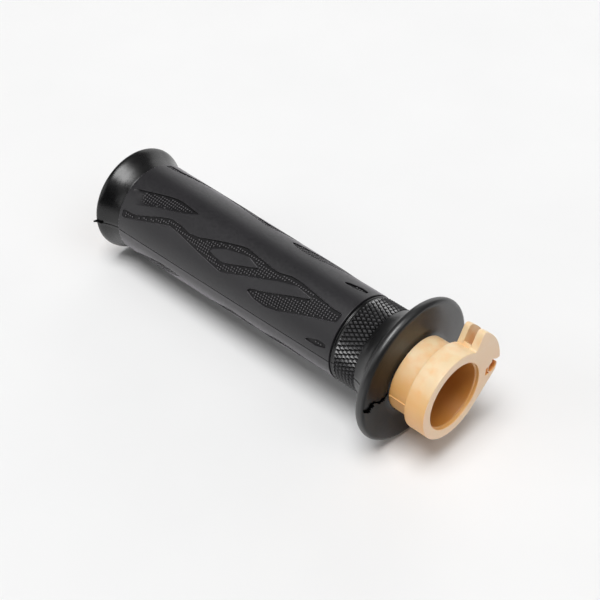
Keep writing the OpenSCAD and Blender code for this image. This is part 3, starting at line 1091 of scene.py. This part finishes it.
def floor_plane():
    """The plane that the flange's rim and the flared end's rim both rest on."""
    yz_length = math.sqrt(1 + FLOOR_LEAN ** 2)
    flange_x = -FLANGE_T / 2
    lean_x = (FLANGE_R - FLARE_R) / (flange_x - FLARE_REST_X) * yz_length
    normal = Vector((lean_x, FLOOR_LEAN, 1.0))
    scale = 1 / normal.length
    normal.normalize()
    level = flange_x * normal.x - FLANGE_R * yz_length * scale
    return normal, level * MM


def add_floor():
    """A pale sheet, wide enough to fill the view, of paper that is very slightly uneven."""
    normal, level = floor_plane()
    half_width, n = 3.0, 24
    steps = np.linspace(-half_width, half_width, n + 1)
    points = [(x, y, 0) for x in steps for y in steps]
    row = n + 1
    faces = [(i * row + k, (i + 1) * row + k, (i + 1) * row + k + 1, i * row + k + 1)
             for i in range(n) for k in range(n)]
    mesh = bpy.data.meshes.new("floor")
    mesh.from_pydata(points, [], faces)
    floor = bpy.data.objects.new("floor", mesh)
    bpy.context.scene.collection.objects.link(floor)
    turn = normal.to_track_quat("Z", "Y").to_matrix().to_4x4()
    floor.matrix_world = Matrix.Translation(normal * level) @ turn
    m = Nodes("floor_paper")
    colour = m.mix(m.between(m.noise(60.0), 0.3, 0.7, 0, 1), (0.86, 0.86, 0.86), (0.88, 0.88, 0.88))
    m.link(colour, m.bsdf.inputs["Base Color"])
    m.bsdf.inputs["Roughness"].default_value = 0.9
    m.bsdf.inputs["Specular IOR Level"].default_value = 0.1
    mesh.materials.append(m.material)


def towards(azimuth, elevation):
    """A direction: azimuth 0 is beyond the object as the camera sees it and 90 is its right."""
    normal, _ = floor_plane()
    ahead = CAMERA_UP.cross(CAMERA_RIGHT)
    ahead = (ahead - normal * ahead.dot(normal)).normalized()
    side = ahead.cross(normal)
    a, e = math.radians(azimuth), math.radians(elevation)
    return (ahead * math.cos(a) + side * math.sin(a)) * math.cos(e) + normal * math.sin(e)


def add_sky_light(name, azimuth, elevation, width, power):
    """A far, soft, round light, whose width is in degrees."""
    light = bpy.data.lights.new(name, "SUN")
    light.angle = math.radians(width)
    light.energy = power
    obj = bpy.data.objects.new(name, light)
    bpy.context.scene.collection.objects.link(obj)
    place = towards(azimuth, elevation)
    obj.location = place
    obj.rotation_mode = "QUATERNION"
    obj.rotation_quaternion = place.to_track_quat("Z", "Y")


def add_world(near, far, azimuth):
    """A pale surround that is brighter towards an azimuth and darker on the opposite side."""
    world = bpy.data.worlds.new("studio")
    world.use_nodes = True
    tree = world.node_tree
    direction = tree.nodes.new("ShaderNodeTexCoord").outputs["Generated"]
    facing = tree.nodes.new("ShaderNodeVectorMath")
    facing.operation = "DOT_PRODUCT"
    facing.inputs[1].default_value = towards(azimuth, 0)
    tree.links.new(direction, facing.inputs[0])
    strength = tree.nodes.new("ShaderNodeMapRange")
    ends = {"From Min": -0.8, "From Max": 0.8, "To Min": near, "To Max": far}
    for key, number in ends.items():
        strength.inputs[key].default_value = number
    tree.links.new(facing.outputs["Value"], strength.inputs["Value"])
    background = tree.nodes["Background"]
    background.inputs["Color"].default_value = (1.0, 1.0, 1.0, 1.0)
    tree.links.new(strength.outputs["Result"], background.inputs["Strength"])
    bpy.context.scene.world = world


def add_camera():
    """The camera stands past the drum's end, on the -Y side, and looks down at the grip."""
    data = bpy.data.cameras.new("camera")
    data.sensor_width = 36.0
    data.lens = 78.0
    data.clip_start, data.clip_end = 0.01, 20.0
    camera = bpy.data.objects.new("camera", data)
    bpy.context.scene.collection.objects.link(camera)
    turn = Matrix((CAMERA_RIGHT, CAMERA_UP, CAMERA_RIGHT.cross(CAMERA_UP))).transposed().to_4x4()
    camera.matrix_world = Matrix.Translation(CAMERA_PLACE * MM) @ turn
    bpy.context.scene.camera = camera


add_floor()
add_sky_light("overhead", azimuth=-142, elevation=77, width=33, power=2.47)
add_sky_light("right_fill", azimuth=125, elevation=48, width=36, power=0.42)
add_sky_light("left_fill", azimuth=-100, elevation=24, width=40, power=0.42)
add_sky_light("low_back", azimuth=20, elevation=14, width=46, power=0.56)
add_world(near=0.05, far=0.19, azimuth=35)
add_camera()
bpy.context.scene.view_settings.view_transform = "Standard"
